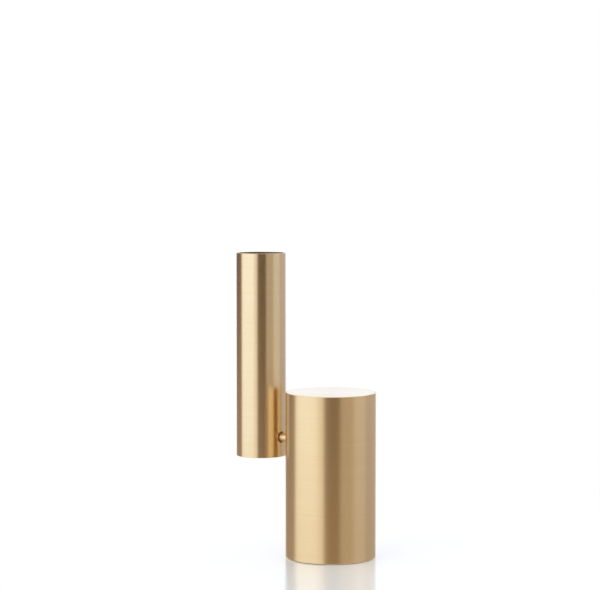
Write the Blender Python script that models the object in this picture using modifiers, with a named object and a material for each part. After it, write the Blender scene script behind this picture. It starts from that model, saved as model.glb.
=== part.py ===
"""Candlestick vase: a weighted brass cylinder that carries a slender brass tube beside it on one round peg.

The table is at z = 0, the cylinder's axis is the Z axis, and the peg points along -X to the tube.
"""

import math

import bmesh
import bpy

MM = 0.001

# Clearance left between two pieces that touch on the real object
SEAT_GAP = 0.3 * MM

# Weighted cylinder
BASE_DIAMETER = 65.5 * MM
BASE_HEIGHT = 120 * MM
SLEEVE_WALL = 2 * MM
LEDGE_WIDTH = 0.9 * MM
EDGE_CHAMFER = 0.5 * MM
FOOT_LIFT = 0.3 * MM
CAP_THICKNESS = 4 * MM
CAP_BOSS_DIAMETER = 16 * MM
CAP_BOSS_LENGTH = 10 * MM
PAD_THICKNESS = 2 * MM
PAD_CLEARANCE = 0.7 * MM
PLATE_WEB = 2.5 * MM
ROD_DIAMETER = 6 * MM
ROD_NUT_FLATS = 10 * MM
PLATE_NUT_HEIGHT = 3.2 * MM
BALLAST_NUT_HEIGHT = 5 * MM
NUT_POCKET_ROOM = 1.5 * MM
BALLAST_CLEARANCE = 0.5 * MM
BALLAST_CHAMFER = 2 * MM
BALLAST_HEADROOM = 22 * MM

# Peg between the cylinder and the tube
CLEAR_GAP = 10.5 * MM
PEG_BELOW_TOP = 36 * MM
PEG_DIAMETER = 6 * MM
PEG_CHAMFER = 0.4 * MM
PEG_REACH = 14 * MM
STUD_DIAMETER = 5 * MM
STUD_TIP = 1.5 * MM
NECK_DIAMETER = 4.4 * MM
NECK_FROM_END = 4 * MM
SADDLE_DIAMETER = 16 * MM
SADDLE_THICKNESS = 3 * MM
LOCK_WASHER_DIAMETER = 10 * MM
LOCK_WASHER_THICKNESS = 0.8 * MM
LOCK_WASHER_DISH = 0.5 * MM
PEG_NUT_FLATS = 8 * MM
PEG_NUT_HEIGHT = 4 * MM

# Tube and the plug in its lower end
TUBE_DIAMETER = 36.5 * MM
TUBE_LENGTH = 150 * MM
TUBE_WALL = 1.5 * MM
RIM_CHAMFER = 0.3 * MM
PEG_ABOVE_TUBE_END = 14.5 * MM
PLUG_RECESS = 0.5 * MM
PLUG_CHAMFER = 0.5 * MM
SEAL_SECTION = 2 * MM
SEAL_LAND = 3 * MM
BUSH_WALL = 0.9 * MM
BUSH_LENGTH = 4.5 * MM
BUSH_SINK = 0.5 * MM
CROSS_BORE_END = 1 * MM
GRUB_DIAMETER = 4 * MM
GRUB_POINT_DIAMETER = 2.5 * MM
GRUB_RECESS = 3 * MM
GRUB_KEY_FLATS = 2 * MM
GRUB_KEY_DEPTH = 2 * MM

# Sides of a turned piece, by how large it is
SIDES_LARGE = 96
SIDES_MEDIUM = 48
SIDES_SMALL = 32
SIDES_CORD = 10

# How far a cutter runs past the wall that it goes through
CUT_OVERRUN = 1 * MM
SHARP_EDGE = math.radians(30)

# Finishes: colour, roughness, metallic
BRUSHED_BRASS = ((0.80, 0.60, 0.34, 1), 0.28, 1.0)
TURNED_BRASS = ((0.80, 0.61, 0.36, 1), 0.25, 1.0)
RAW_BRASS = ((0.66, 0.47, 0.22, 1), 0.45, 1.0)
CAST_IRON = ((0.11, 0.11, 0.12, 1), 0.70, 1.0)
PLATED_STEEL = ((0.60, 0.60, 0.58, 1), 0.35, 1.0)
BROWN_FIBRE = ((0.36, 0.18, 0.07, 1), 0.60, 0.0)
BLACK_RUBBER = ((0.03, 0.03, 0.03, 1), 0.80, 0.0)

for old in list(bpy.data.objects):
    bpy.data.objects.remove(old)

parts = bpy.data.collections.new("candlestick_vase")
cutters = bpy.data.collections.new("cutters")
bpy.context.scene.collection.children.link(parts)
bpy.context.scene.collection.children.link(cutters)


def finish(part, look):
    """Gives a part its own material, from a colour, a roughness and a metallic value."""
    colour, roughness, metallic = look
    material = bpy.data.materials.new(part.name)
    material.use_nodes = True
    shader = material.node_tree.nodes["Principled BSDF"]
    shader.inputs["Base Color"].default_value = colour
    shader.inputs["Roughness"].default_value = roughness
    shader.inputs["Metallic"].default_value = metallic
    material.diffuse_color = colour
    part.data.materials.append(material)


def lay_along_x(item):
    """Turns a piece made along Z so that its heights become places along X."""
    item.rotation_euler = (0, math.radians(90), 0)


def ring(outer, inner, bottom, top, chamfer=0.0):
    """Profile of a ring, down its outer side and back up its bore."""
    return [
        (outer - chamfer, top),
        (outer, top - chamfer),
        (outer, bottom + chamfer),
        (outer - chamfer, bottom),
        (inner, bottom),
        (inner, top),
    ]


def rod(radius, bottom, top, chamfer=0.0):
    """Profile of a solid rod, from the middle of its top to the middle of its foot."""
    return [
        (0, top),
        (radius - chamfer, top),
        (radius, top - chamfer),
        (radius, bottom + chamfer),
        (radius - chamfer, bottom),
        (0, bottom),
    ]


def turned(name, profile, sides, look, parent=None):
    """Revolves a profile of (radius, height) points about Z: a closed ring, or a solid that starts on the axis."""
    points = [spot for i, spot in enumerate(profile) if i == 0 or spot != profile[i - 1]]
    edges = [(i, i + 1) for i in range(len(points) - 1)]
    if points[0][0] > 0:
        edges.append((len(points) - 1, 0))
    mesh = bpy.data.meshes.new(name)
    mesh.from_pydata([(radius, 0, height) for radius, height in points], edges, [])
    part = bpy.data.objects.new(name, mesh)
    part.parent = parent
    parts.objects.link(part)
    screw = part.modifiers.new("Turn", "SCREW")
    screw.steps = sides
    screw.render_steps = sides
    screw.use_merge_vertices = True
    screw.merge_threshold = 0.01 * MM
    finish(part, look)
    return part


def cutter(name, radius, bottom, top, sides=SIDES_SMALL, parent=None):
    """A straight bar along Z that is only used to cut; with six sides it is a hexagon."""
    shape = bmesh.new()
    bmesh.ops.create_cone(
        shape, cap_ends=True, segments=sides, radius1=radius, radius2=radius, depth=top - bottom
    )
    bmesh.ops.translate(shape, verts=shape.verts, vec=(0, 0, (top + bottom) / 2))
    mesh = bpy.data.meshes.new(name)
    shape.to_mesh(mesh)
    shape.free()
    bar = bpy.data.objects.new(name, mesh)
    bar.parent = parent
    bar.hide_render = True
    bar.display_type = "WIRE"
    cutters.objects.link(bar)
    return bar


def cut(part, tool, operation="DIFFERENCE"):
    step = part.modifiers.new(tool.name, "BOOLEAN")
    step.operation = operation
    step.object = tool
    step.solver = "EXACT"


def hex_corner(flats):
    return flats / math.sqrt(3)


def hex_nut(name, flats, bore, bottom, top, look):
    """A turned and chamfered blank, trimmed to six flats."""
    corner = hex_corner(flats)
    blank = ring(corner, bore, bottom, top, chamfer=corner - flats / 2)
    nut = turned(name, blank, SIDES_SMALL, look)
    flats_bar = cutter(
        name + "_flats", corner, bottom - CUT_OVERRUN, top + CUT_OVERRUN, sides=6
    )
    cut(nut, flats_bar, "INTERSECT")
    return nut, flats_bar


# Radii and levels that several pieces share
base_radius = BASE_DIAMETER / 2
sleeve_bore = base_radius - SLEEVE_WALL
sleeve_recess = sleeve_bore + LEDGE_WIDTH
rod_radius = ROD_DIAMETER / 2
rod_hole = rod_radius + SEAT_GAP
cap_underside = BASE_HEIGHT - CAP_THICKNESS
plate_underside = PAD_THICKNESS + SEAT_GAP
nut_pocket_top = plate_underside + PLATE_NUT_HEIGHT + 2 * SEAT_GAP
plate_top = nut_pocket_top + PLATE_WEB
plate_nut_top = nut_pocket_top - SEAT_GAP
plate_nut_underside = plate_nut_top - PLATE_NUT_HEIGHT
peg_height = BASE_HEIGHT - PEG_BELOW_TOP
peg_radius = PEG_DIAMETER / 2
peg_hole = peg_radius + SEAT_GAP
stud_radius = STUD_DIAMETER / 2
stud_hole = stud_radius + SEAT_GAP
neck_radius = NECK_DIAMETER / 2
tube_radius = TUBE_DIAMETER / 2
tube_bore = tube_radius - TUBE_WALL

# Sleeve: a length of brass tube, let out at both ends to leave a ledge for the cap and one for the plate
sleeve_profile = [
    (base_radius - EDGE_CHAMFER, BASE_HEIGHT),
    (base_radius, BASE_HEIGHT - EDGE_CHAMFER),
    (base_radius, FOOT_LIFT + EDGE_CHAMFER),
    (base_radius - EDGE_CHAMFER, FOOT_LIFT),
    (sleeve_recess, FOOT_LIFT),
    (sleeve_recess, plate_top + SEAT_GAP),
    (sleeve_bore, plate_top + SEAT_GAP),
    (sleeve_bore, cap_underside - SEAT_GAP),
    (sleeve_recess, cap_underside - SEAT_GAP),
    (sleeve_recess, BASE_HEIGHT),
]
base_sleeve = turned("base_sleeve", sleeve_profile, SIDES_LARGE, BRUSHED_BRASS)
stud_drill = cutter("stud_drill", stud_hole, -base_radius - CUT_OVERRUN, -sleeve_bore + SLEEVE_WALL)
stud_drill.location.z = peg_height
lay_along_x(stud_drill)
cut(base_sleeve, stud_drill)

# Cap: a turned disc that lies on the upper ledge, with a blind boss underneath for the tie rod
cap_radius = sleeve_recess - SEAT_GAP
cap_boss_radius = CAP_BOSS_DIAMETER / 2
cap_boss_foot = cap_underside - CAP_BOSS_LENGTH
cap_profile = [
    (0, BASE_HEIGHT),
    (cap_radius, BASE_HEIGHT),
    (cap_radius, cap_underside),
    (cap_boss_radius, cap_underside),
    (cap_boss_radius, cap_boss_foot),
    (rod_hole, cap_boss_foot),
    (rod_hole, cap_underside),
    (0, cap_underside),
]
turned("base_cap", cap_profile, SIDES_LARGE, TURNED_BRASS)

# Plate: closes the foot against the lower ledge, with a pocket that sinks the tie rod's nut
nut_pocket = hex_corner(ROD_NUT_FLATS) + NUT_POCKET_ROOM
plate_profile = [
    (cap_radius, plate_top),
    (cap_radius, plate_underside),
    (nut_pocket, plate_underside),
    (nut_pocket, nut_pocket_top),
    (rod_hole, nut_pocket_top),
    (rod_hole, plate_top),
]
turned("base_plate", plate_profile, SIDES_MEDIUM, PLATED_STEEL)

# Tie rod: draws the cap and the plate together on to the sleeve
rod_profile = rod(rod_radius, plate_nut_underside, cap_underside - SEAT_GAP, PEG_CHAMFER)
turned("tie_rod", rod_profile, SIDES_SMALL, PLATED_STEEL)
hex_nut("plate_nut", ROD_NUT_FLATS, rod_hole, plate_nut_underside, plate_nut_top, PLATED_STEEL)

# Ballast: a cast slug that stands on the plate, with the peg's fittings free above it
ballast_foot = plate_top + SEAT_GAP
ballast_top = peg_height - BALLAST_HEADROOM
ballast_profile = ring(
    sleeve_bore - BALLAST_CLEARANCE, rod_hole + BALLAST_CLEARANCE, ballast_foot, ballast_top, BALLAST_CHAMFER
)
turned("base_ballast", ballast_profile, SIDES_MEDIUM, CAST_IRON)
ballast_nut_foot = ballast_top + SEAT_GAP
hex_nut(
    "ballast_nut",
    ROD_NUT_FLATS,
    rod_hole,
    ballast_nut_foot,
    ballast_nut_foot + BALLAST_NUT_HEIGHT,
    PLATED_STEEL,
)

# Foot pad: stuck under the plate, inside the sleeve's foot, and a little lower than the sleeve
pad_profile = rod(sleeve_recess - PAD_CLEARANCE, 0, PAD_THICKNESS, RIM_CHAMFER)
turned("foot_pad", pad_profile, SIDES_MEDIUM, BLACK_RUBBER)

# Places along X, from the tube to the fittings inside the sleeve
tube_face = -base_radius - CLEAR_GAP
tube_axis = tube_face - tube_radius
peg_end = tube_face - PEG_REACH
peg_shoulder = -base_radius - SEAT_GAP
saddle_outside = -sleeve_bore + SEAT_GAP
saddle_inside = saddle_outside + SADDLE_THICKNESS
washer_rim = saddle_inside + SEAT_GAP
washer_crown = washer_rim + LOCK_WASHER_DISH
nut_outside = washer_crown + LOCK_WASHER_THICKNESS + SEAT_GAP
nut_inside = nut_outside + PEG_NUT_HEIGHT
stud_end = nut_inside + STUD_TIP

# Peg: a turned pin with a threaded stud for the sleeve and a neck near its other end for the grub screw
neck_half = GRUB_POINT_DIAMETER / 2 + SEAT_GAP
neck_middle = peg_end + NECK_FROM_END
peg_profile = [
    (0, stud_end),
    (stud_radius - PEG_CHAMFER, stud_end),
    (stud_radius, stud_end - PEG_CHAMFER),
    (stud_radius, peg_shoulder),
    (peg_radius - PEG_CHAMFER, peg_shoulder),
    (peg_radius, peg_shoulder - PEG_CHAMFER),
    (peg_radius, neck_middle + neck_half),
    (neck_radius, neck_middle + neck_half),
    (neck_radius, neck_middle - neck_half),
    (peg_radius, neck_middle - neck_half),
    (peg_radius, peg_end + PEG_CHAMFER),
    (peg_radius - PEG_CHAMFER, peg_end),
    (0, peg_end),
]
link_peg = turned("link_peg", peg_profile, SIDES_SMALL, TURNED_BRASS)

# Saddle washer: a thick disc whose outer face is hollowed round to the inside of the sleeve
saddle_profile = ring(SADDLE_DIAMETER / 2, stud_hole, -base_radius, saddle_inside)
saddle_washer = turned("saddle_washer", saddle_profile, SIDES_SMALL, RAW_BRASS)
sleeve_inside = cutter(
    "sleeve_inside", sleeve_bore - SEAT_GAP, plate_top, cap_underside, sides=SIDES_LARGE
)
cut(saddle_washer, sleeve_inside, "INTERSECT")

# Lock washer: a dished spring disc under the nut
lock_washer_radius = LOCK_WASHER_DIAMETER / 2
lock_washer_profile = [
    (lock_washer_radius, washer_rim + LOCK_WASHER_THICKNESS),
    (lock_washer_radius, washer_rim),
    (stud_hole, washer_crown),
    (stud_hole, washer_crown + LOCK_WASHER_THICKNESS),
]
lock_washer = turned("lock_washer", lock_washer_profile, SIDES_SMALL, PLATED_STEEL)
peg_nut, peg_nut_flats = hex_nut(
    "peg_nut", PEG_NUT_FLATS, stud_hole, nut_outside, nut_inside, PLATED_STEEL
)
for item in (link_peg, saddle_washer, lock_washer, peg_nut, peg_nut_flats):
    item.location.z = peg_height
    lay_along_x(item)

# The tube turns about the peg: its pieces hang on this axis, with their heights counted from it
tube_swivel = bpy.data.objects.new("tube_swivel", None)
tube_swivel.location = (tube_axis, 0, peg_height)
parts.objects.link(tube_swivel)

# Tube: thin brass, open above, with a cross hole for the bush round the peg
tube_foot = -PEG_ABOVE_TUBE_END
tube_profile = [
    (tube_radius - RIM_CHAMFER, tube_foot + TUBE_LENGTH),
    (tube_radius, tube_foot + TUBE_LENGTH - RIM_CHAMFER),
    (tube_radius, tube_foot + RIM_CHAMFER),
    (tube_radius - RIM_CHAMFER, tube_foot),
    (tube_bore, tube_foot),
    (tube_bore, tube_foot + TUBE_LENGTH - RIM_CHAMFER),
    (tube_bore + RIM_CHAMFER, tube_foot + TUBE_LENGTH),
]
vase_tube = turned("vase_tube", tube_profile, SIDES_LARGE, BRUSHED_BRASS, tube_swivel)
bush_radius = peg_hole + BUSH_WALL
bush_outside = tube_radius - BUSH_SINK
bush_inside = bush_outside - BUSH_LENGTH
bush_drill = cutter(
    "bush_drill",
    bush_radius + SEAT_GAP,
    bush_inside - SEAT_GAP,
    tube_radius + CUT_OVERRUN,
    parent=tube_swivel,
)
lay_along_x(bush_drill)
cut(vase_tube, bush_drill)

# Plug: turned from bar, grooved for the seal, cross bored for the peg and tapped from below for the grub screw
seal_outside = tube_bore - SEAT_GAP
seal_groove = seal_outside - SEAL_SECTION - SEAT_GAP
seal_half = SEAL_SECTION / 2 + SEAT_GAP
seal_height = bush_radius + SEAT_GAP + SEAL_LAND + seal_half
plug_radius = tube_bore - SEAT_GAP
plug_top = seal_height + seal_half + SEAL_LAND
plug_foot = tube_foot + PLUG_RECESS
plug_profile = [
    (0, plug_top),
    (plug_radius - PLUG_CHAMFER, plug_top),
    (plug_radius, plug_top - PLUG_CHAMFER),
    (plug_radius, seal_height + seal_half),
    (seal_groove, seal_height + seal_half),
    (seal_groove, seal_height - seal_half),
    (plug_radius, seal_height - seal_half),
    (plug_radius, plug_foot + PLUG_CHAMFER),
    (plug_radius - PLUG_CHAMFER, plug_foot),
    (0, plug_foot),
]
vase_plug = turned("vase_plug", plug_profile, SIDES_MEDIUM, TURNED_BRASS, tube_swivel)
cross_bore_end = tube_radius - PEG_REACH - CROSS_BORE_END
cross_drill = cutter(
    "cross_drill", peg_hole, cross_bore_end, tube_radius + CUT_OVERRUN, parent=tube_swivel
)
lay_along_x(cross_drill)
grub_place = tube_radius - PEG_REACH + NECK_FROM_END
grub_radius = GRUB_DIAMETER / 2
grub_drill = cutter(
    "grub_drill", grub_radius + SEAT_GAP, plug_foot - CUT_OVERRUN, -neck_radius, parent=tube_swivel
)
grub_drill.location.x = grub_place
for tool in (cross_drill, bush_drill, grub_drill):
    cut(vase_plug, tool)

# Seal ring: a round cord ring that fills the plug's groove out to the tube
bpy.ops.mesh.primitive_torus_add(
    major_radius=seal_outside - SEAL_SECTION / 2,
    minor_radius=SEAL_SECTION / 2,
    major_segments=SIDES_MEDIUM,
    minor_segments=SIDES_CORD,
    location=(0, 0, seal_height),
)
seal_ring = bpy.context.object
seal_ring.name = "seal_ring"
seal_ring.parent = tube_swivel
bpy.context.collection.objects.unlink(seal_ring)
parts.objects.link(seal_ring)
finish(seal_ring, BLACK_RUBBER)

# Bush: a plain fibre ring that lines the hole round the peg
bush_profile = ring(bush_radius, peg_hole, bush_inside, bush_outside)
friction_bush = turned("friction_bush", bush_profile, SIDES_SMALL, BROWN_FIBRE, tube_swivel)
lay_along_x(friction_bush)

# Grub screw: its point runs in the peg's neck, and a key turns it from under the tube
grub_shoulder = -peg_hole
grub_point = -neck_radius - SEAT_GAP
grub_foot = plug_foot + GRUB_RECESS
grub_point_radius = GRUB_POINT_DIAMETER / 2
grub_profile = [
    (0, grub_point),
    (grub_point_radius, grub_point),
    (grub_point_radius, grub_shoulder),
    (grub_radius, grub_shoulder),
    (grub_radius, grub_foot),
    (0, grub_foot),
]
grub_screw = turned("grub_screw", grub_profile, SIDES_SMALL, PLATED_STEEL, tube_swivel)
key_bar = cutter(
    "key_bar",
    hex_corner(GRUB_KEY_FLATS),
    grub_foot - CUT_OVERRUN,
    grub_foot + GRUB_KEY_DEPTH,
    sides=6,
    parent=tube_swivel,
)
for item in (grub_screw, key_bar):
    item.location.x = grub_place
cut(grub_screw, key_bar)

# Every piece is made a plain mesh, smooth round its curves and sharp at its edges
bpy.context.view_layer.update()
scene_state = bpy.context.evaluated_depsgraph_get()
finished = {
    part: bpy.data.meshes.new_from_object(part.evaluated_get(scene_state))
    for part in parts.objects
    if part.type == "MESH"
}
for part, mesh in finished.items():
    part.modifiers.clear()
    part.data = mesh
    mesh.shade_smooth()
    mesh.set_sharp_from_angle(angle=SHARP_EDGE)
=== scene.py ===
# Looks of a candlestick vase: a heavy brushed-brass cylinder that carries a slender brass tube beside it
# on one round peg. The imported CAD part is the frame, and each section finishes one of its pieces.
import math

import bpy
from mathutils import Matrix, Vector


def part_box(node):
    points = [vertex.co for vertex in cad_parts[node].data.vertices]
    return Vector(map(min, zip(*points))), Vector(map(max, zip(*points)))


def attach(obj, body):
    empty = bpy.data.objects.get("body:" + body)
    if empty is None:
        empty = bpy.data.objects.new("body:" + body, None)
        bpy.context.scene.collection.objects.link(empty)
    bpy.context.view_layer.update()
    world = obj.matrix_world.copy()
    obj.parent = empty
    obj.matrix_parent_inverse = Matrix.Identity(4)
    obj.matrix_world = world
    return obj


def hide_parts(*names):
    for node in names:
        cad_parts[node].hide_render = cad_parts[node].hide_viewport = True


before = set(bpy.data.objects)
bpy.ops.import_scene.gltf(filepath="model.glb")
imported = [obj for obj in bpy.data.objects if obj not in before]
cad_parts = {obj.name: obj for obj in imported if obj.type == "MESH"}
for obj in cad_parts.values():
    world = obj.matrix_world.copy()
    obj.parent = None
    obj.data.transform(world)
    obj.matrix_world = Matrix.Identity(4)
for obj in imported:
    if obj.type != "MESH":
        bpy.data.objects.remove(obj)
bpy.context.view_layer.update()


# Wall of the heavy cylinder: a length of drawn brass tube, faced to length in the lathe and eased at its
# edges. Its outside is brushed round the axis, so each reflection is drawn out along the height. The cap
# and the plate are let into its two ends, and the tie rod clamps all three together.
MM = 0.001
sleeve_low, sleeve_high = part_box("base_sleeve")
sleeve_radius = sleeve_high.x
sleeve_wall = 2 * MM
ledge_width = 0.9 * MM
sleeve_bore = sleeve_radius - sleeve_wall
sleeve_recess = sleeve_bore + ledge_width
sleeve_chamfer = 0.25 * MM
sleeve_easing = 0.08 * MM
foot_lift = 0.2 * MM
sleeve_foot = sleeve_low.z + foot_lift
cap_ledge = 115.7 * MM
plate_ledge = 8.9 * MM
peg_height = 84 * MM
stud_hole_radius = 2.8 * MM
stud_hole_overrun = 2 * MM
brass_colour = (0.80, 0.60, 0.34)
brass_tarnish = (0.70, 0.48, 0.24)
brass_worn = (0.90, 0.74, 0.50)


def add(tree, kind, inputs=(), **settings):
    """A new node in tree. Inputs are values, or sockets to join, by their name or number."""
    made = tree.nodes.new(kind)
    for option, value in settings.items():
        setattr(made, option, value)
    for key, value in dict(inputs).items():
        if isinstance(value, bpy.types.NodeSocket):
            tree.links.new(value, made.inputs[key])
        else:
            made.inputs[key].default_value = value
    return made


def reckoned(tree, operation, *values):
    """The result of one sum on values or sockets."""
    return add(tree, "ShaderNodeMath", dict(enumerate(values)), operation=operation).outputs[0]


def scaled(tree, socket, low, high, to_low, to_high):
    """A value between low and high, carried over to the range from to_low to to_high."""
    inputs = {"Value": socket, "From Min": low, "From Max": high, "To Min": to_low, "To Max": to_high}
    return add(tree, "ShaderNodeMapRange", inputs).outputs["Result"]


def tinted(tree, share, first, second):
    """A colour between two others."""
    mix = add(tree, "ShaderNodeMix", {"Factor": share}, data_type="RGBA")
    for socket, colour in ((mix.inputs[6], first), (mix.inputs[7], second)):
        if isinstance(colour, bpy.types.NodeSocket):
            tree.links.new(colour, socket)
        else:
            socket.default_value = (*colour, 1)
    return mix.outputs[2]


def speckle(tree, place, scale, detail):
    """A cloudy pattern: scale is how many clouds turn up in a metre."""
    inputs = {"Vector": place, "Scale": scale, "Detail": detail, "Roughness": 0.55}
    return add(tree, "ShaderNodeTexNoise", inputs).outputs["Fac"]


def streaks(tree, x, y, along, round_axis, along_axis):
    """A streaky pattern: how many streaks turn up in a metre round the axis and along it."""
    inputs = {0: reckoned(tree, "MULTIPLY", x, round_axis), 1: reckoned(tree, "MULTIPLY", y, round_axis)}
    inputs[2] = reckoned(tree, "MULTIPLY", along, along_axis)
    return speckle(tree, add(tree, "ShaderNodeCombineXYZ", inputs).outputs[0], 1.0, 2.0)


def new_finish(name):
    """An empty material and its node tree."""
    material = bpy.data.materials.new(name)
    material.use_nodes = True
    material.node_tree.nodes.clear()
    return material, material.node_tree


def surfaced(tree, **inputs):
    """Gives a material its surface. Inputs are the shader's, with low lines for spaces in their names."""
    named = {key.replace("_", " "): value for key, value in inputs.items()}
    shader = add(tree, "ShaderNodeBsdfPrincipled", named)
    add(tree, "ShaderNodeOutputMaterial", {"Surface": shader.outputs[0]})


def bumped(tree, height, strength, depth):
    """A surface direction that follows a height, which reaches depth from its lowest to its highest."""
    inputs = {"Strength": strength, "Distance": depth, "Height": height}
    return add(tree, "ShaderNodeBump", inputs).outputs[0]


def turned_metal(name, clean, tarnish, worn, roughness, stretch, shift=(0, 0, 0), turn=(0, 0, 0), dull_shaded_bore=None):
    """Metal with fine tool lines round its axis, faint tarnish and edges worn bright.
    Stretch is how far the lines draw a reflection out. The last argument, if given, is a bore's radius,
    colour and roughness:
    inside that radius the metal turns matt and darker, partly as drawn brass and partly as painted shade of
    the deep bore."""
    blotch_tarnish = 0.14
    line_tarnish = 0.20
    band_tarnish = 0.10
    edge_wear = 0.25
    edge_polish = 0.05
    uneven = 0.004
    bore_shade_fade = 0.5 * MM
    material, tree = new_finish(name)
    place = add(tree, "ShaderNodeTexCoord").outputs["Object"]
    mapping = {"Vector": place, "Location": shift, "Rotation": turn}
    about_axis = add(tree, "ShaderNodeMapping", mapping, vector_type="POINT").outputs[0]
    x, y, z = add(tree, "ShaderNodeSeparateXYZ", {0: about_axis}).outputs
    flat = add(tree, "ShaderNodeCombineXYZ", {0: x, 1: y}).outputs[0]
    radius = add(tree, "ShaderNodeVectorMath", {0: flat}, operation="LENGTH").outputs["Value"]
    along = reckoned(tree, "MULTIPLY_ADD", radius, 0.6, z)
    lines = streaks(tree, x, y, along, round_axis=9, along_axis=1500)
    bands = streaks(tree, x, y, along, round_axis=4, along_axis=330)
    blotches = speckle(tree, about_axis, 30.0, 4.0)
    edge = add(tree, "ShaderNodeAttribute", attribute_name="edge").outputs["Fac"]
    colour = tinted(tree, scaled(tree, blotches, 0.42, 0.78, 0, blotch_tarnish), clean, tarnish)
    colour = tinted(tree, scaled(tree, lines, 0.35, 0.70, 0, line_tarnish), colour, tarnish)
    colour = tinted(tree, scaled(tree, bands, 0.40, 0.70, 0, band_tarnish), colour, tarnish)
    colour = tinted(tree, scaled(tree, edge, 0, 1, 0, edge_wear), colour, worn)
    rough = scaled(tree, lines, 0.3, 0.7, roughness - uneven, roughness + uneven)
    rough = reckoned(tree, "ADD", rough, scaled(tree, bands, 0.35, 0.65, -uneven, uneven))
    rough = reckoned(tree, "ADD", rough, scaled(tree, blotches, 0.35, 0.7, -0.006, 0.008))
    rough = reckoned(tree, "ADD", rough, scaled(tree, edge, 0, 1, 0, -edge_polish))
    # Inside the bore the metal turns rougher and its colour darker: the darker colour is partly matt drawn
    # brass and partly painted shade of the deep bore.
    if dull_shaded_bore:
        shaded_bore_radius, bore_shade_colour, dull_roughness = dull_shaded_bore
        inside = scaled(tree, radius, shaded_bore_radius, shaded_bore_radius + bore_shade_fade, 1, 0)
        colour = tinted(tree, inside, colour, bore_shade_colour)
        rough = reckoned(tree, "ADD", rough, scaled(tree, inside, 0, 1, 0, dull_roughness - roughness))
    height = reckoned(tree, "MULTIPLY_ADD", lines, 0.7, reckoned(tree, "MULTIPLY", bands, 0.3))
    tangent = add(tree, "ShaderNodeTangent", direction_type="UV_MAP", uv_map="UVMap").outputs[0]
    normal = bumped(tree, height, 0.04, 0.004 * MM)
    surfaced(
        tree,
        Base_Color=colour,
        Metallic=1.0,
        Roughness=rough,
        Anisotropic=stretch,
        Normal=normal,
        Tangent=tangent,
    )
    return material


def eased(corners, loop):
    """A turned outline, as (radius, height, edge) points. Each corner (radius, height, easing) becomes an
    arc, with a point on the flat at either side of it, and edge is 1 on the arc."""
    arc_steps = 5
    points = []
    for index, (radius, height, easing) in enumerate(corners):
        corner = Vector((radius, height))
        if easing == 0:
            points.append((radius, height, 0))
            continue
        before = (Vector(corners[index - 1][:2]) - corner).normalized()
        after = (Vector(corners[(index + 1) % len(corners)][:2]) - corner).normalized()
        half_angle = before.angle(after) / 2
        reach = easing / math.tan(half_angle)
        centre = corner + (before + after).normalized() * (easing / math.sin(half_angle))
        start = corner + before * reach
        end = corner + after * reach
        points.append((*(start + before * easing), 0))
        for step in range(arc_steps + 1):
            arm = (start - centre).lerp(end - centre, step / arc_steps).normalized() * easing
            points.append((*(centre + arm), 1))
        points.append((*(end + after * easing), 0))
    if loop:
        points.append(points[0])
    return points


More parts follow.
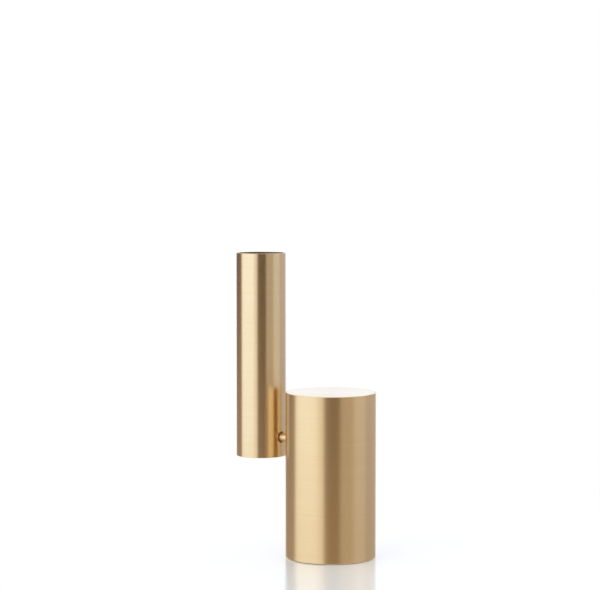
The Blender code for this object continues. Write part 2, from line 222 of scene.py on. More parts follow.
def build_lathe():
    """Geometry Nodes tree that turns an outline round an axis. A grid has one row for each point of the
    outline and one column for each side, its own map follows the outline and the turn, and a thread may be
    cut in it."""
    tree = bpy.data.node_groups.new("lathe", "GeometryNodeTree")
    kinds = {"Outline": "Geometry", "Sides": "Int", "Turn": "Float", "Centre": "Vector", "Tilt": "Float"}
    kinds |= {"Pitch": "Float", "Depth": "Float", "Thread start": "Float", "Thread end": "Float"}
    kinds |= {"Finish": "Material"}
    for label, kind in kinds.items():
        tree.interface.new_socket(label, in_out="INPUT", socket_type="NodeSocket" + kind)
    tree.interface.new_socket("Piece", in_out="OUTPUT", socket_type="NodeSocketGeometry")
    given = add(tree, "NodeGroupInput").outputs
    size = add(tree, "GeometryNodeAttributeDomainSize", {"Geometry": given["Outline"]}, component="MESH")
    rows = size.outputs["Point Count"]
    columns = reckoned(tree, "ADD", given["Sides"], 1.0)
    grid_inputs = {"Size X": 1.0, "Size Y": 1.0, "Vertices X": columns, "Vertices Y": rows}
    grid = add(tree, "GeometryNodeMeshGrid", grid_inputs)
    place = add(tree, "GeometryNodeInputPosition").outputs[0]
    across, upward = add(tree, "ShaderNodeSeparateXYZ", {0: place}).outputs[:2]
    share = reckoned(tree, "ADD", across, 0.5)
    angle = reckoned(tree, "MULTIPLY_ADD", share, 2 * math.pi, given["Turn"])
    last_row = reckoned(tree, "SUBTRACT", rows, 1.0)
    row = reckoned(tree, "ROUND", reckoned(tree, "MULTIPLY", reckoned(tree, "ADD", upward, 0.5), last_row))
    sample_inputs = {"Geometry": given["Outline"], "Value": place, "Index": row}
    sample = add(tree, "GeometryNodeSampleIndex", sample_inputs, data_type="FLOAT_VECTOR", domain="POINT")
    radius, edge, height = add(tree, "ShaderNodeSeparateXYZ", {0: sample.outputs[0]}).outputs
    turns = reckoned(tree, "SUBTRACT", reckoned(tree, "DIVIDE", height, given["Pitch"]), share)
    groove = scaled(tree, reckoned(tree, "PINGPONG", turns, 0.5), 0.07, 0.43, 0, 1)
    full_start = reckoned(tree, "ADD", given["Thread start"], given["Pitch"])
    full_end = reckoned(tree, "SUBTRACT", given["Thread end"], given["Pitch"])
    running_in = scaled(tree, height, given["Thread start"], full_start, 0, 1)
    running_out = scaled(tree, height, full_end, given["Thread end"], 1, 0)
    cut = reckoned(tree, "MULTIPLY", reckoned(tree, "MULTIPLY", running_in, running_out), groove)
    cut_depth = reckoned(tree, "MINIMUM", reckoned(tree, "MULTIPLY", cut, given["Depth"]), radius)
    threaded = reckoned(tree, "SUBTRACT", radius, cut_depth)
    x = reckoned(tree, "MULTIPLY", threaded, reckoned(tree, "COSINE", angle))
    y = reckoned(tree, "MULTIPLY", threaded, reckoned(tree, "SINE", angle))
    turned_place = add(tree, "ShaderNodeCombineXYZ", {0: x, 1: y, 2: height}).outputs[0]
    map_parts = add(tree, "ShaderNodeSeparateXYZ", {0: grid.outputs["UV Map"]}).outputs
    swapped = add(tree, "ShaderNodeCombineXYZ", {0: map_parts[1], 1: map_parts[0]}).outputs[0]
    map_inputs = {"Geometry": grid.outputs["Mesh"], "Name": "UVMap", "Value": swapped}
    mapped = add(tree, "GeometryNodeStoreNamedAttribute", map_inputs, data_type="FLOAT2", domain="CORNER")
    edge_inputs = {"Geometry": mapped.outputs[0], "Name": "edge", "Value": edge}
    edged = add(tree, "GeometryNodeStoreNamedAttribute", edge_inputs, data_type="FLOAT", domain="POINT")
    moved = add(tree, "GeometryNodeSetPosition", {"Geometry": edged.outputs[0], "Position": turned_place})
    closed = add(tree, "GeometryNodeMergeByDistance", {"Geometry": moved.outputs[0], "Distance": 1e-6})
    smooth = add(tree, "GeometryNodeSetShadeSmooth", {"Geometry": closed.outputs[0], "Shade Smooth": True})
    tilt = add(tree, "ShaderNodeCombineXYZ", {1: given["Tilt"]}).outputs[0]
    laid_inputs = {"Geometry": smooth.outputs[0], "Translation": given["Centre"], "Rotation": tilt}
    laid = add(tree, "GeometryNodeTransform", laid_inputs)
    real = add(tree, "GeometryNodeRealizeInstances", {"Geometry": laid.outputs[0]})
    finish_inputs = {"Geometry": real.outputs[0], "Material": given["Finish"]}
    finished = add(tree, "GeometryNodeSetMaterial", finish_inputs)
    add(tree, "NodeGroupOutput", {"Piece": finished.outputs[0]})
    return tree


lathe = build_lathe()


def turned(
    name, outline, finish, centre=(0, 0, 0), along_x=False, sides=256, turn=0.0, thread=None, cuts=()
):
    """A piece turned from its outline, round Z or along X. A thread is its pitch, depth, start and end.
    Cuts are other pieces and what each does: DIFFERENCE takes it away, INTERSECT keeps what lies in it."""
    sharp_angle = math.radians(35)
    mesh = bpy.data.meshes.new(name)
    mesh.from_pydata([(radius, edge, height) for radius, height, edge in outline], [], [])
    blank = bpy.data.objects.new(name + ".blank", mesh)
    bpy.context.scene.collection.objects.link(blank)
    modifier = blank.modifiers.new("lathe", "NODES")
    modifier.node_group = lathe
    pitch, depth, thread_start, thread_end = thread or (1.0, 0.0, 0.0, 1.0)
    values = {"Sides": sides, "Turn": turn, "Centre": centre, "Tilt": math.pi / 2 if along_x else 0.0}
    values |= {"Pitch": pitch, "Depth": depth, "Thread start": thread_start, "Thread end": thread_end}
    values |= {"Finish": finish}
    for socket in lathe.interface.items_tree:
        if socket.name in values:
            modifier[socket.identifier] = values[socket.name]
    for tool, operation in cuts:
        cut = blank.modifiers.new("cut", "BOOLEAN")
        cut.operation = operation
        cut.solver = "EXACT"
        cut.object = tool
    depsgraph = bpy.context.evaluated_depsgraph_get()
    made = bpy.data.meshes.new_from_object(
        blank.evaluated_get(depsgraph), preserve_all_data_layers=True, depsgraph=depsgraph
    )
    made.name = name
    if cuts:
        made.set_sharp_from_angle(angle=sharp_angle)
    piece = bpy.data.objects.new(name, made)
    bpy.context.scene.collection.objects.link(piece)
    for spent in (blank, *(tool for tool, operation in cuts)):
        bpy.data.objects.remove(spent)
    return piece


def bar(radius, start, end):
    """Outline of a plain round bar."""
    return [(0, start, 0), (radius, start, 0), (radius, end, 0), (0, end, 0)]


def drill(name, outline, finish, centre, along_x=False):
    """A tool that cuts a round hole, turned by half a side so that its corners miss the piece's edges."""
    sides = 96
    return turned(name, outline, finish, centre, along_x, sides, turn=math.pi / sides)


def fixed(piece, body, node):
    """Hands a finished piece over: it moves with the body given, and the CAD node that it stands for is
    hidden.
    """
    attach(piece, body)
    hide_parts(node)


sleeve_brass = turned_metal(
    "brushed brass of the cylinder", brass_colour, brass_tarnish, brass_worn, roughness=0.292, stretch=0.5
)
sleeve_corners = [
    (sleeve_radius - sleeve_chamfer, sleeve_foot, sleeve_easing),
    (sleeve_radius, sleeve_foot + sleeve_chamfer, sleeve_easing),
    (sleeve_radius, sleeve_high.z - sleeve_chamfer, sleeve_easing),
    (sleeve_radius - sleeve_chamfer, sleeve_high.z, sleeve_easing),
    (sleeve_recess, sleeve_high.z, sleeve_easing),
    (sleeve_recess, cap_ledge, sleeve_easing),
    (sleeve_bore, cap_ledge, sleeve_easing),
    (sleeve_bore, plate_ledge, sleeve_easing),
    (sleeve_recess, plate_ledge, sleeve_easing),
    (sleeve_recess, sleeve_foot, sleeve_easing),
]
stud_hole_start = -sleeve_radius - stud_hole_overrun
stud_hole_end = -sleeve_bore + stud_hole_overrun
stud_hole_outline = bar(stud_hole_radius, stud_hole_start, stud_hole_end)
stud_hole = drill("stud_hole", stud_hole_outline, sleeve_brass, (0, 0, peg_height), along_x=True)
sleeve = turned(
    "base_sleeve_brushed", eased(sleeve_corners, loop=True), sleeve_brass, cuts=[(stud_hole, "DIFFERENCE")]
)
fixed(sleeve, "base", "base_sleeve")


# Cap: a disc turned from brass bar, let in flush with the sleeve's upper edge. Its top is faced in the
# lathe, which leaves fine rings round the middle. A boss underneath takes the tie rod.
cap_low, cap_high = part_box("base_cap")
cap_clearance = 0.05 * MM
cap_radius = sleeve_recess - cap_clearance
cap_face = 116 * MM
cap_easing = 0.06 * MM
boss_radius = 8 * MM
boss_easing = 0.4 * MM
rod_hole_radius = 3.3 * MM
rod_hole_easing = 0.2 * MM
faced_colour = (0.83, 0.68, 0.46)
cap_brass = turned_metal(
    "faced brass of the cap", faced_colour, brass_tarnish, brass_worn, roughness=0.19, stretch=0.3
)
cap_corners = [
    (0, cap_face, 0),
    (rod_hole_radius, cap_face, cap_easing),
    (rod_hole_radius, cap_low.z, rod_hole_easing),
    (boss_radius, cap_low.z, boss_easing),
    (boss_radius, cap_face, cap_easing),
    (cap_radius, cap_face, cap_easing),
    (cap_radius, cap_high.z, cap_easing),
    (0, cap_high.z, 0),
]
cap = turned("base_cap_faced", eased(cap_corners, loop=False), cap_brass)
fixed(cap, "base", "base_cap")


# Plate: a disc of zinc-plated steel that closes the cylinder's foot against the sleeve's lower ledge. A
# round pocket in its underside sinks the nut of the tie rod.
plate_low, plate_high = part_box("base_plate")
plate_radius = plate_high.x
plate_easing = 0.25 * MM
pocket_radius = 7.27 * MM
pocket_top = 6.1 * MM
zinc_colour = (0.60, 0.60, 0.58)
zinc_bloom = (0.46, 0.47, 0.48)
zinc_tint = (0.66, 0.63, 0.52)


def zinc_plate(name, roughness):
    """Zinc-plated steel: a pale grey with a cloudy bloom, faintly yellow in places, over a fine grain."""
    material, tree = new_finish(name)
    place = add(tree, "ShaderNodeTexCoord").outputs["Object"]
    bloom = speckle(tree, place, 110.0, 5.0)
    tint = speckle(tree, place, 45.0, 2.0)
    fine = speckle(tree, place, 2800.0, 3.0)
    edge = add(tree, "ShaderNodeAttribute", attribute_name="edge").outputs["Fac"]
    colour = tinted(tree, scaled(tree, bloom, 0.42, 0.72, 0, 1), zinc_colour, zinc_bloom)
    colour = tinted(tree, scaled(tree, tint, 0.50, 0.75, 0, 0.7), colour, zinc_tint)
    rough = scaled(tree, bloom, 0.35, 0.70, roughness - 0.06, roughness + 0.10)
    rough = reckoned(tree, "ADD", rough, scaled(tree, edge, 0, 1, 0, -0.08))
    normal = bumped(tree, fine, 0.25, 0.02 * MM)
    surfaced(tree, Base_Color=colour, Metallic=1.0, Roughness=rough, Normal=normal)
    return material


plate_steel = zinc_plate("zinc-plated steel of the plate", 0.38)
plate_corners = [
    (plate_radius, plate_low.z, plate_easing),
    (plate_radius, plate_high.z, plate_easing),
    (rod_hole_radius, plate_high.z, plate_easing),
    (rod_hole_radius, pocket_top, plate_easing),
    (pocket_radius, pocket_top, plate_easing),
    (pocket_radius, plate_low.z, plate_easing),
]
plate = turned("base_plate_pressed", eased(plate_corners, loop=True), plate_steel, sides=160)
fixed(plate, "base", "base_plate")


# Ballast: a slug of grey cast iron that stands on the plate and keeps the offset tube from tipping the
# cylinder over. It has the sandy skin of its mould, and rounded edges.
ballast_low, ballast_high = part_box("base_ballast")
ballast_radius = ballast_high.x
ballast_bore = 3.8 * MM
ballast_chamfer = 1.9 * MM
ballast_easing = 0.8 * MM
ballast_bore_easing = 0.4 * MM
iron_colour = (0.11, 0.11, 0.12)
iron_rust = (0.16, 0.085, 0.05)
iron, iron_tree = new_finish("cast iron of the ballast")
iron_place = add(iron_tree, "ShaderNodeTexCoord").outputs["Object"]
iron_sand = speckle(iron_tree, iron_place, 950.0, 5.0)
iron_lumps = speckle(iron_tree, iron_place, 130.0, 3.0)
iron_stain = speckle(iron_tree, iron_place, 55.0, 5.0)
iron_height = reckoned(iron_tree, "MULTIPLY_ADD", iron_lumps, 1.6, iron_sand)
surfaced(
    iron_tree,
    Base_Color=tinted(iron_tree, scaled(iron_tree, iron_stain, 0.52, 0.78, 0, 0.8), iron_colour, iron_rust),
    Metallic=0.85,
    Roughness=scaled(iron_tree, iron_sand, 0.3, 0.7, 0.55, 0.80),
    Normal=bumped(iron_tree, iron_height, 0.7, 0.15 * MM),
)
ballast_corners = [
    (ballast_radius - ballast_chamfer, ballast_low.z, ballast_easing),
    (ballast_radius, ballast_low.z + ballast_chamfer, ballast_easing),
    (ballast_radius, ballast_high.z - ballast_chamfer, ballast_easing),
    (ballast_radius - ballast_chamfer, ballast_high.z, ballast_easing),
    (ballast_bore, ballast_high.z, ballast_bore_easing),
    (ballast_bore, ballast_low.z, ballast_bore_easing),
]
ballast = turned("base_ballast_cast", eased(ballast_corners, loop=True), iron, sides=160)
fixed(ballast, "base", "base_ballast")


# Tie rod: a length of zinc-plated screwed rod. It is screwed into the cap's boss, goes down through the
# ballast and the plate, and draws the cap and the plate together on to the sleeve.
rod_low, rod_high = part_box("tie_rod")
rod_radius = rod_high.x
rod_chamfer = 0.4 * MM
rod_pitch = 1.0 * MM
rod_thread_depth = 0.58 * MM


def screwed_bar(radius, start, end, chamfer, pitch):
    """Outline of a bar with close rows along it, for a thread to be cut in."""
    rows_per_turn = 8
    points = [(0, start, 0), (radius - chamfer, start, 0)]
    first = start + chamfer
    rows = math.ceil((end - start - 2 * chamfer) / pitch * rows_per_turn)
    for row in range(rows + 1):
        points.append((radius, first + (end - start - 2 * chamfer) * row / rows, 0))
    points += [(radius - chamfer, end, 0), (0, end, 0)]
    return points


rod_steel = zinc_plate("zinc-plated steel of the screwed rod", 0.34)
rod_outline = screwed_bar(rod_radius, rod_low.z, rod_high.z, rod_chamfer, rod_pitch)
rod_thread = (rod_pitch, rod_thread_depth, rod_low.z, rod_high.z)
rod = turned("tie_rod_screwed", rod_outline, rod_steel, sides=32, thread=rod_thread)
fixed(rod, "base", "tie_rod")


# Nuts of the tie rod: pressed hexagons of zinc-plated steel with chamfered corners. One sits in the plate's
# pocket, and a thicker one holds the ballast down on the plate.
rod_nut_flats = 10 * MM
nut_steel = zinc_plate("zinc-plated steel of the nuts", 0.30)


def nut(name, flats, bore, start, end, finish, centre=(0, 0, 0), along_x=False):
    """A hexagonal nut: a turned blank with chamfered ends and bore, trimmed to six flats."""
    sides = 96
    easing = 0.06 * MM
    bore_chamfer = 0.25 * MM
    bore_easing = 0.04 * MM
    flats_overrun = 1 * MM
    corner_trim = 0.08 * MM
    corner = flats / math.sqrt(3)
    outside = corner - corner_trim
    slope = (outside - flats / 2) * math.tan(math.radians(30))
    blank_corners = [
        (flats / 2, start, easing),
        (outside, start + slope, easing),
        (outside, end - slope, easing),
        (flats / 2, end, easing),
        (bore + bore_chamfer, end, bore_easing),
        (bore, end - bore_chamfer, bore_easing),
        (bore, start + bore_chamfer, bore_easing),
        (bore + bore_chamfer, start, bore_easing),
    ]
    flats_outline = bar(corner, start - flats_overrun, end + flats_overrun)
    six_flats = turned(name + ".flats", flats_outline, finish, centre, along_x, sides=6, turn=math.pi / 6)
    outline = eased(blank_corners, loop=True)
    half_side = math.pi / sides
    return turned(name, outline, finish, centre, along_x, sides, half_side, cuts=[(six_flats, "INTERSECT")])


for node in ("plate_nut", "ballast_nut"):
    nut_low, nut_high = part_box(node)
    rod_nut = nut(node + "_pressed", rod_nut_flats, rod_hole_radius, nut_low.z, nut_high.z, nut_steel)
    fixed(rod_nut, "base", node)


# Foot pad: a disc punched from black rubber sheet and stuck under the plate, a little inside the sleeve,
# so that only a thin dark line of it shows under the brass.
pad_low, pad_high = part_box("foot_pad")
pad_radius = pad_high.x
pad_easing = 0.25 * MM
pad_colour = (0.022, 0.021, 0.020)
pad_dust = (0.06, 0.058, 0.055)


def moulded(name, colour, dust, roughness, fine):
    """Rubber or fibre: a fine pebbled skin with a trace of pale dust in it."""
    material, tree = new_finish(name)
    place = add(tree, "ShaderNodeTexCoord").outputs["Object"]
    pebbles = speckle(tree, place, fine, 3.0)
    clouds = speckle(tree, place, 60.0, 5.0)
    shade = tinted(tree, scaled(tree, clouds, 0.5, 0.8, 0, 0.6), colour, dust)
    rough = scaled(tree, pebbles, 0.3, 0.7, roughness - 0.08, roughness + 0.08)
    surfaced(tree, Base_Color=shade, Roughness=rough, Normal=bumped(tree, pebbles, 0.35, 0.08 * MM))
    return material


pad_rubber = moulded("black rubber of the foot pad", pad_colour, pad_dust, 0.75, 2600.0)
pad_corners = [
    (0, pad_low.z, 0),
    (pad_radius, pad_low.z, pad_easing),
    (pad_radius, pad_high.z, pad_easing),
    (0, pad_high.z, 0),
]
pad = turned("foot_pad_punched", eased(pad_corners, loop=False), pad_rubber)
fixed(pad, "base", "foot_pad")


# Peg: a pin turned from brass bar, with a threaded stud that goes through the sleeve's wall and a neck near
# its other end, where the grub screw's point runs. It carries the tube and is the axis on which it turns.
peg_low, peg_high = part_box("link_peg")
peg_radius = peg_high.y
seat_gap = 0.3 * MM
peg_shoulder = -sleeve_radius - seat_gap
peg_chamfer = 0.4 * MM
stud_radius = 2.5 * MM
stud_pitch = 0.8 * MM
stud_thread_depth = 0.46 * MM
stud_thread_start = peg_shoulder + 1.5 * MM
neck_radius = 2.2 * MM
neck_middle = peg_low.x + 4 * MM
neck_half = 1.55 * MM
peg_easing = 0.08 * MM
on_peg_axis = {"shift": (peg_height, 0, 0), "turn": (0, -math.pi / 2, 0)}
peg_colour = (0.80, 0.61, 0.36)
peg_brass = turned_metal(
    "turned brass of the peg", peg_colour, brass_tarnish, brass_worn, roughness=0.25, stretch=0.3,
    **on_peg_axis,
)
peg_corners = [
    (0, peg_low.x, 0),
    (peg_radius - peg_chamfer, peg_low.x, peg_easing),
    (peg_radius, peg_low.x + peg_chamfer, peg_easing),
    (peg_radius, neck_middle - neck_half, peg_easing),
    (neck_radius, neck_middle - neck_half, peg_easing),
    (neck_radius, neck_middle + neck_half, peg_easing),
    (peg_radius, neck_middle + neck_half, peg_easing),
    (peg_radius, peg_shoulder - peg_chamfer, peg_easing),
    (peg_radius - peg_chamfer, peg_shoulder, 0),
]
peg_outline = eased(peg_corners, loop=False)
peg_outline += screwed_bar(stud_radius, peg_shoulder, peg_high.x, peg_chamfer, stud_pitch)[2:]
stud_thread = (stud_pitch, stud_thread_depth, stud_thread_start, peg_high.x + stud_pitch)
peg = turned(
    "link_peg_turned", peg_outline, peg_brass, (0, 0, peg_height), along_x=True, sides=96,
    thread=stud_thread,
)
fixed(peg, "base", "link_peg")


# Washers behind the sleeve's wall: a thick disc sawn from brass bar, rounded to fit the inside of the
# sleeve, and a dished disc of spring steel that keeps the peg's nut from working loose.
saddle_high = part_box("saddle_washer")[1]
saddle_easing = 0.2 * MM
saddle_bore_easing = 0.15 * MM
spring_low, spring_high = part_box("lock_washer")
spring_thickness = 0.8 * MM
spring_easing = 0.1 * MM
sawn_colour = (0.66, 0.47, 0.22)
sawn_tarnish = (0.45, 0.28, 0.12)
sawn_brass = turned_metal(
    "sawn brass of the saddle", sawn_colour, sawn_tarnish, brass_colour, roughness=0.42, stretch=0.2,
    **on_peg_axis,
)
saddle_corners = [
    (saddle_high.y, -sleeve_radius, 0),
    (saddle_high.y, saddle_high.x, saddle_easing),
    (stud_hole_radius, saddle_high.x, saddle_bore_easing),
    (stud_hole_radius, -sleeve_radius, 0),
]
inside_outline = bar(sleeve_bore - seat_gap, plate_ledge, cap_face)
inside = drill("sleeve_inside", inside_outline, sawn_brass, (0, 0, 0))
saddle = turned(
    "saddle_washer_sawn", eased(saddle_corners, loop=True), sawn_brass, (0, 0, peg_height), True, sides=96,
    cuts=[(inside, "INTERSECT")],
)
fixed(saddle, "base", "saddle_washer")
spring_steel = zinc_plate("zinc-plated spring steel", 0.32)
spring_corners = [
    (spring_high.y, spring_low.x, spring_easing),
    (spring_high.y, spring_low.x + spring_thickness, spring_easing),
    (stud_hole_radius, spring_high.x, spring_easing),
    (stud_hole_radius, spring_high.x - spring_thickness, spring_easing),
]
spring_outline = eased(spring_corners, loop=True)
spring = turned(
    "lock_washer_dished", spring_outline, spring_steel, (0, 0, peg_height), along_x=True, sides=96
)
fixed(spring, "base", "lock_washer")


# Nut of the peg: a small pressed hexagon of zinc-plated steel on the stud's end, inside the cylinder. It
# pulls the peg's shoulder against the outside of the sleeve.
peg_nut_flats = 8 * MM
peg_nut_low, peg_nut_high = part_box("peg_nut")
peg_nut = nut(
    "peg_nut_pressed", peg_nut_flats, stud_hole_radius, peg_nut_low.x, peg_nut_high.x, nut_steel,
    (0, 0, peg_height), along_x=True,
)
fixed(peg_nut, "base", "peg_nut")


# Tube: thin drawn brass, open above, brushed like the sleeve. Its inside is left matt as drawn, and its
# colour there is darkened further as painted shade of the deep bore. A cross hole near its lower end lets
# the peg in, with a bush round it.
tube_low, tube_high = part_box("vase_tube")
tube_radius = tube_high.y
tube_axis = (tube_low.x + tube_high.x) / 2
tube_wall = 1.5 * MM
tube_bore = tube_radius - tube_wall
tube_chamfer = 0.12 * MM
tube_easing = 0.05 * MM
cross_hole_radius = 4.3 * MM
cross_hole_start = tube_axis + 12.95 * MM
cross_hole_end = tube_axis + tube_radius + 1 * MM
below_cross_hole = peg_height - 8 * MM
above_cross_hole = peg_height + 8 * MM
tube_colour = (0.80, 0.62, 0.38)
# Colour inside the tube's bore: matt drawn brass, darkened further as painted shade of the deep bore.
shaded_bore_colour = (0.30, 0.19, 0.13)
bore_roughness = 0.5
on_tube_axis = {"shift": (-tube_axis, 0, 0)}
tube_brass = turned_metal(
    "brushed brass of the tube", tube_colour, brass_tarnish, brass_worn, roughness=0.255, stretch=0.5,
    dull_shaded_bore=(tube_bore, shaded_bore_colour, bore_roughness), **on_tube_axis,
)
tube_corners = [
    (tube_radius - tube_chamfer, tube_low.z, tube_easing),
    (tube_radius, tube_low.z + tube_chamfer, tube_easing),
    (tube_radius, below_cross_hole, 0),
    (tube_radius, above_cross_hole, 0),
    (tube_radius, tube_high.z - tube_chamfer, tube_easing),
    (tube_radius - tube_chamfer, tube_high.z, tube_easing),
    (tube_bore + tube_chamfer, tube_high.z, tube_easing),
    (tube_bore, tube_high.z - tube_chamfer, tube_easing),
    (tube_bore, above_cross_hole, 0),
    (tube_bore, below_cross_hole, 0),
    (tube_bore, tube_low.z, tube_easing),
]
cross_hole_outline = bar(cross_hole_radius, cross_hole_start, cross_hole_end)
cross_hole = drill("cross_hole", cross_hole_outline, tube_brass, (0, 0, peg_height), along_x=True)
tube = turned(
    "vase_tube_brushed", eased(tube_corners, loop=True), tube_brass, (tube_axis, 0, 0),
    cuts=[(cross_hole, "DIFFERENCE")],
)
fixed(tube, "vase", "vase_tube")


# Plug: turned from brass bar and pushed up into the tube's lower end to hold the water. It has a groove for
# the seal, a cross bore for the peg with a wider mouth for the bush, and a tapped hole from below.
plug_low, plug_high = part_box("vase_plug")
plug_radius = plug_high.y
plug_chamfer = 0.5 * MM
plug_easing = 0.1 * MM
groove_radius = plug_radius - 2.3 * MM
groove_middle = peg_height + 8.8 * MM
groove_half = 1.3 * MM
cross_bore_radius = 3.3 * MM
cross_bore_start = tube_axis + 3.25 * MM
grub_axis = tube_axis + 8.25 * MM
grub_hole_radius = 2.3 * MM
grub_hole_overrun = 1 * MM
grub_hole_reach = grub_hole_radius + 1 * MM
plug_brass = turned_metal(
    "turned brass of the plug", faced_colour, brass_tarnish, brass_worn, roughness=0.26, stretch=0.35,
    **on_tube_axis,
)
plug_corners = [
    (0, plug_low.z, 0),
    (grub_axis - tube_axis - grub_hole_reach, plug_low.z, 0),
    (grub_axis - tube_axis + grub_hole_reach, plug_low.z, 0),
    (plug_radius - plug_chamfer, plug_low.z, plug_easing),
    (plug_radius, plug_low.z + plug_chamfer, plug_easing),
    (plug_radius, groove_middle - groove_half, plug_easing),
    (groove_radius, groove_middle - groove_half, plug_easing),
    (groove_radius, groove_middle + groove_half, plug_easing),
    (plug_radius, groove_middle + groove_half, plug_easing),
    (plug_radius, plug_high.z - plug_chamfer, plug_easing),
    (plug_radius - plug_chamfer, plug_high.z, plug_easing),
    (0, plug_high.z, 0),
]
cross_bore_outline = bar(cross_bore_radius, cross_bore_start, cross_hole_start)[:-1]
cross_bore_outline += bar(cross_hole_radius, cross_hole_start, cross_hole_end)[1:]
cross_bore = drill("cross_bore", cross_bore_outline, plug_brass, (0, 0, peg_height), along_x=True)
grub_hole_outline = bar(grub_hole_radius, plug_low.z - grub_hole_overrun, peg_height - neck_radius)
grub_hole = drill("grub_hole", grub_hole_outline, plug_brass, (grub_axis, 0, 0))
plug = turned(
    "vase_plug_turned", eased(plug_corners, loop=False), plug_brass, (tube_axis, 0, 0),
    cuts=[(cross_bore, "DIFFERENCE"), (grub_hole, "DIFFERENCE")],
)
fixed(plug, "vase", "vase_plug")


# Seal: a round-section ring of black rubber in the plug's groove, squeezed against the inside of the tube.
# It makes the plug watertight above the cross bore.
seal_low, seal_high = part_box("seal_ring")
seal_section = (seal_high.z - seal_low.z) / 2
seal_radius = seal_high.y - seal_section
seal_colour = (0.020, 0.020, 0.021)
seal_bloom = (0.045, 0.045, 0.048)
seal_rubber = moulded("black rubber of the seal", seal_colour, seal_bloom, 0.45, 4200.0)
seal_steps = 24
seal_outline = []
for step in range(seal_steps + 1):
    around = 2 * math.pi * step / seal_steps
    seal_out = seal_radius + seal_section * math.cos(around)
    seal_up = groove_middle + seal_section * math.sin(around)
    seal_outline.append((seal_out, seal_up, 0))
seal = turned("seal_ring_moulded", seal_outline, seal_rubber, (tube_axis, 0, 0), sides=128)
fixed(seal, "vase", "seal_ring")


# Bush: a plain ring cut from brown vulcanised fibre. It lines the cross hole, so that brass doesn't turn on
# brass, and shows as a dark ring round the peg.
bush_low, bush_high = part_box("friction_bush")
bush_radius = bush_high.y
bush_bore = 3.06 * MM
bush_easing = 0.12 * MM
fibre_colour = (0.36, 0.18, 0.07)
fibre_dust = (0.42, 0.24, 0.11)
bush_fibre = moulded("brown fibre of the bush", fibre_colour, fibre_dust, 0.60, 5200.0)
bush_corners = [
    (bush_bore, bush_low.x, bush_easing),
    (bush_radius, bush_low.x, bush_easing),
    (bush_radius, bush_high.x, bush_easing),
    (bush_bore, bush_high.x, bush_easing),
]
bush_outline = eased(bush_corners, loop=True)
bush = turned("friction_bush_cut", bush_outline, bush_fibre, (0, 0, peg_height), along_x=True, sides=96)
fixed(bush, "vase", "friction_bush")


# Grub screw: a headless screw of zinc-plated steel with a plain point, turned by a hexagonal key from under
# the tube. Its point runs in the peg's neck, which keeps the tube on and sets how stiffly it turns.
grub_low, grub_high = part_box("grub_screw")
grub_radius = grub_high.y
grub_shoulder = peg_height - 3.3 * MM
grub_point_radius = 1.25 * MM
grub_point_chamfer = 0.2 * MM
grub_chamfer = 0.3 * MM
grub_pitch = 0.7 * MM
grub_thread_depth = 0.40 * MM
grub_sides = 48
key_flats = 2 * MM
key_corner = key_flats / math.sqrt(3)
key_depth = 2 * MM
key_overrun = 1 * MM
key_turn = math.pi / 6 + math.pi / grub_sides
grub_outline = screwed_bar(grub_radius, grub_low.z, grub_shoulder, grub_chamfer, grub_pitch)[:-1]
grub_outline += [
    (grub_point_radius, grub_shoulder, 0),
    (grub_point_radius, grub_high.z - grub_point_chamfer, 0),
    (grub_point_radius - grub_point_chamfer, grub_high.z, 0),
    (0, grub_high.z, 0),
]
grub_steel = zinc_plate("zinc-plated steel of the grub screw", 0.30)
key_outline = bar(key_corner, grub_low.z - key_overrun, grub_low.z + key_depth)
key_socket = turned("key_socket", key_outline, grub_steel, (grub_axis, 0, 0), sides=6, turn=key_turn)
grub = turned(
    "grub_screw_cut", grub_outline, grub_steel, (grub_axis, 0, 0), sides=grub_sides,
    thread=(grub_pitch, grub_thread_depth, grub_low.z, grub_shoulder), cuts=[(key_socket, "DIFFERENCE")],
)
fixed(grub, "vase", "grub_screw")


# Table and studio: a round glossy white table that fades into a white tent. A dark flag with a pale card
# above it stands behind the camera, grey cards at the right and a flag at the far left, and they draw the
# bands in the brass. A large lamp stands at the left and a weaker one behind.
camera_azimuth = math.radians(33.25)
toward_camera = Vector((math.sin(camera_azimuth), -math.cos(camera_azimuth), 0))
toward_right = Vector((math.cos(camera_azimuth), math.sin(camera_azimuth), 0))
table_white = (0.93, 0.93, 0.92)
table_glow = (0.10, 0.095, 0.085)
table_radius = 0.6
table_sides = 48
shaded_radius = 0.17
blank_radius = 0.42
table_material, table_tree = new_finish("glossy white table")
table_place = add(table_tree, "ShaderNodeTexCoord").outputs["Object"]
table_mottle = speckle(table_tree, table_place, 9.0, 3.0)
rays = add(table_tree, "ShaderNodeLightPath").outputs
seen = reckoned(table_tree, "MAXIMUM", rays["Is Camera Ray"], rays["Is Glossy Ray"])
seen = reckoned(table_tree, "MAXIMUM", seen, rays["Is Transmission Ray"])
table_inputs = {
    "Base Color": (*table_white, 1),
    "Roughness": scaled(table_tree, table_mottle, 0.3, 0.7, 0.16, 0.21),
    "Coat Weight": 0.3,
    "Coat Roughness": 0.15,
    "Emission Color": (*table_glow, 1),
    "Emission Strength": seen,
}
table_shader = add(table_tree, "ShaderNodeBsdfPrincipled", table_inputs).outputs[0]
table_length = add(table_tree, "ShaderNodeVectorMath", {0: table_place}, operation="LENGTH")
table_distance = table_length.outputs["Value"]
blank_inputs = {"Value": table_distance, "From Min": shaded_radius, "From Max": blank_radius}
blank = add(table_tree, "ShaderNodeMapRange", blank_inputs, interpolation_type="SMOOTHSTEP")
blank_white = add(table_tree, "ShaderNodeEmission", {"Color": (1, 1, 1, 1), "Strength": 1.0}).outputs[0]
blank_share = reckoned(table_tree, "MULTIPLY", blank.outputs["Result"], seen)
table_surface = add(table_tree, "ShaderNodeMixShader", {0: blank_share, 1: table_shader, 2: blank_white})
add(table_tree, "ShaderNodeOutputMaterial", {"Surface": table_surface.outputs[0]})
table_mesh = bpy.data.meshes.new("table")
table_corners = []
for step in range(table_sides):
    around = 2 * math.pi * step / table_sides
    table_corners.append((table_radius * math.cos(around), table_radius * math.sin(around), 0))
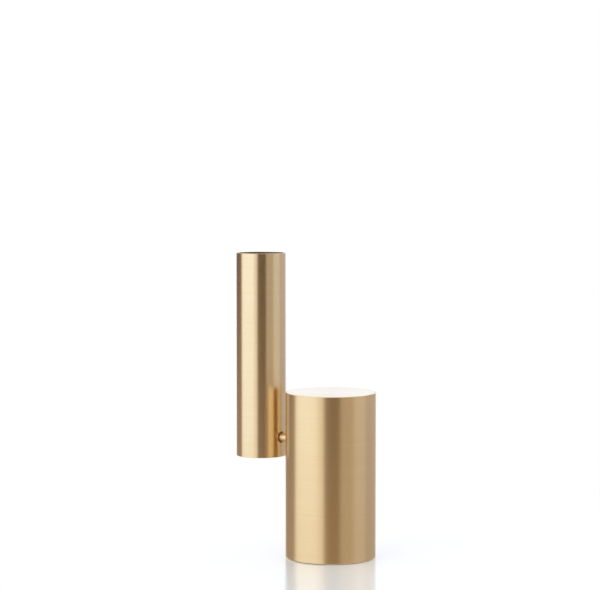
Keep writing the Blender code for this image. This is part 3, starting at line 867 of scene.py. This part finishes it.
table_mesh.from_pydata(table_corners, [], [range(table_sides)])
table_mesh.materials.append(table_material)
table = bpy.data.objects.new("table", table_mesh)
bpy.context.scene.collection.objects.link(table)
table.visible_glossy = False


def standing_card(name, start, end, low, high, foot_height=-2.0, head_height=1.7):
    """A curved card that stands round the object, from one angle to another to the right of the camera. It
    is shaded from the colour low, under the table, to the colour high, a little above it."""
    distance = 2.4
    columns = 24
    bottom = Vector((0, 0, foot_height))
    top = Vector((0, 0, head_height))
    low_height = -0.45
    high_height = 0.12
    points = []
    faces = []
    for column in range(columns + 1):
        angle = math.radians(start + (end - start) * column / columns)
        foot = (toward_camera * math.cos(angle) + toward_right * math.sin(angle)) * distance
        points.append(foot + bottom)
        points.append(foot + top)
        if column:
            faces.append((2 * column - 2, 2 * column, 2 * column + 1, 2 * column - 1))
    mesh = bpy.data.meshes.new(name)
    mesh.from_pydata(points, [], faces)
    material, tree = new_finish(name)
    place = add(tree, "ShaderNodeTexCoord").outputs["Object"]
    height = add(tree, "ShaderNodeSeparateXYZ", {0: place}).outputs[2]
    shade = tinted(tree, scaled(tree, height, low_height, high_height, 0, 1), low, high)
    glow = add(tree, "ShaderNodeEmission", {"Color": shade, "Strength": 1.0})
    add(tree, "ShaderNodeOutputMaterial", {"Surface": glow.outputs[0]})
    mesh.materials.append(material)
    card = bpy.data.objects.new(name, mesh)
    bpy.context.scene.collection.objects.link(card)
    card.visible_camera = False


flag_head = 0.62
flag_low = (0.45, 0.33, 0.225)
flag_high = (0.005, 0.0, 0.0)
pale_colour = (0.55, 0.53, 0.50)
standing_card("dark flag behind the camera", -17, 24, low=flag_low, high=flag_high, head_height=flag_head)
standing_card("pale card above the flag", -17, 24, low=pale_colour, high=pale_colour, foot_height=flag_head)
standing_card("near grey card", 24, 61, low=(0.58, 0.50, 0.42), high=(0.55, 0.51, 0.48))
standing_card("middle grey card", 61, 99, low=(0.65, 0.59, 0.55), high=(0.80, 0.81, 0.87))
standing_card("far grey card", 99, 161, low=(0.53, 0.48, 0.46), high=(0.62, 0.62, 0.68))
standing_card("flag at the far left", -160, -102, low=(0.50, 0.41, 0.37), high=(0.18, 0.15, 0.13))
world = bpy.data.worlds.new("white tent")
bpy.context.scene.world = world
world.use_nodes = True
backdrop = world.node_tree.nodes["Background"]
backdrop.inputs["Color"].default_value = (1, 1, 1, 1)
backdrop.inputs["Strength"].default_value = 1.0


def softbox(name, angle, distance, middle, width, height, colour):
    """A rectangular lamp at an angle to the right of the camera, facing the object's axis. Middle is the
    height of its middle, and it is as bright all over as its colour says."""
    turn = math.radians(angle)
    lamp = bpy.data.lights.new(name, "AREA")
    lamp.shape = "RECTANGLE"
    lamp.size = width
    lamp.size_y = height
    lamp.color = colour
    lamp.energy = math.pi * width * height
    box = bpy.data.objects.new(name, lamp)
    away = toward_camera * math.cos(turn) + toward_right * math.sin(turn)
    box.location = away * distance + Vector((0, 0, middle))
    box.rotation_euler = (-away).to_track_quat("-Z", "Y").to_euler()
    bpy.context.scene.collection.objects.link(box)
    box.visible_camera = False


key_colour = (0.24, 0.39, 0.64)
back_colour = (0.07, 0.14, 0.29)
softbox("key at the left", -65, distance=1.3, middle=0.71, width=1.6, height=1.7, colour=key_colour)
softbox("lamp on the backdrop", 180, distance=2.2, middle=0.75, width=1.6, height=1.5, colour=back_colour)


# Camera: a long lens a little above the object and well back from it, tilted slightly down and turned a
# little to the left of the heavy cylinder.
camera_distance = 1.4396
camera_height = 0.2817
camera_tilt = math.radians(3.6275)
camera_pan = math.radians(-0.884)
camera_data = bpy.data.cameras.new("camera")
camera_data.sensor_width = 36
camera_data.lens = 120
camera = bpy.data.objects.new("camera", camera_data)
camera.location = toward_camera * camera_distance + Vector((0, 0, camera_height))
level_view = toward_right * math.sin(camera_pan) - toward_camera * math.cos(camera_pan)
view = level_view * math.cos(camera_tilt) - Vector((0, 0, math.sin(camera_tilt)))
camera.rotation_euler = view.to_track_quat("-Z", "Y").to_euler()
bpy.context.scene.collection.objects.link(camera)
bpy.context.scene.camera = camera
bpy.context.scene.view_settings.view_transform = "Standard"
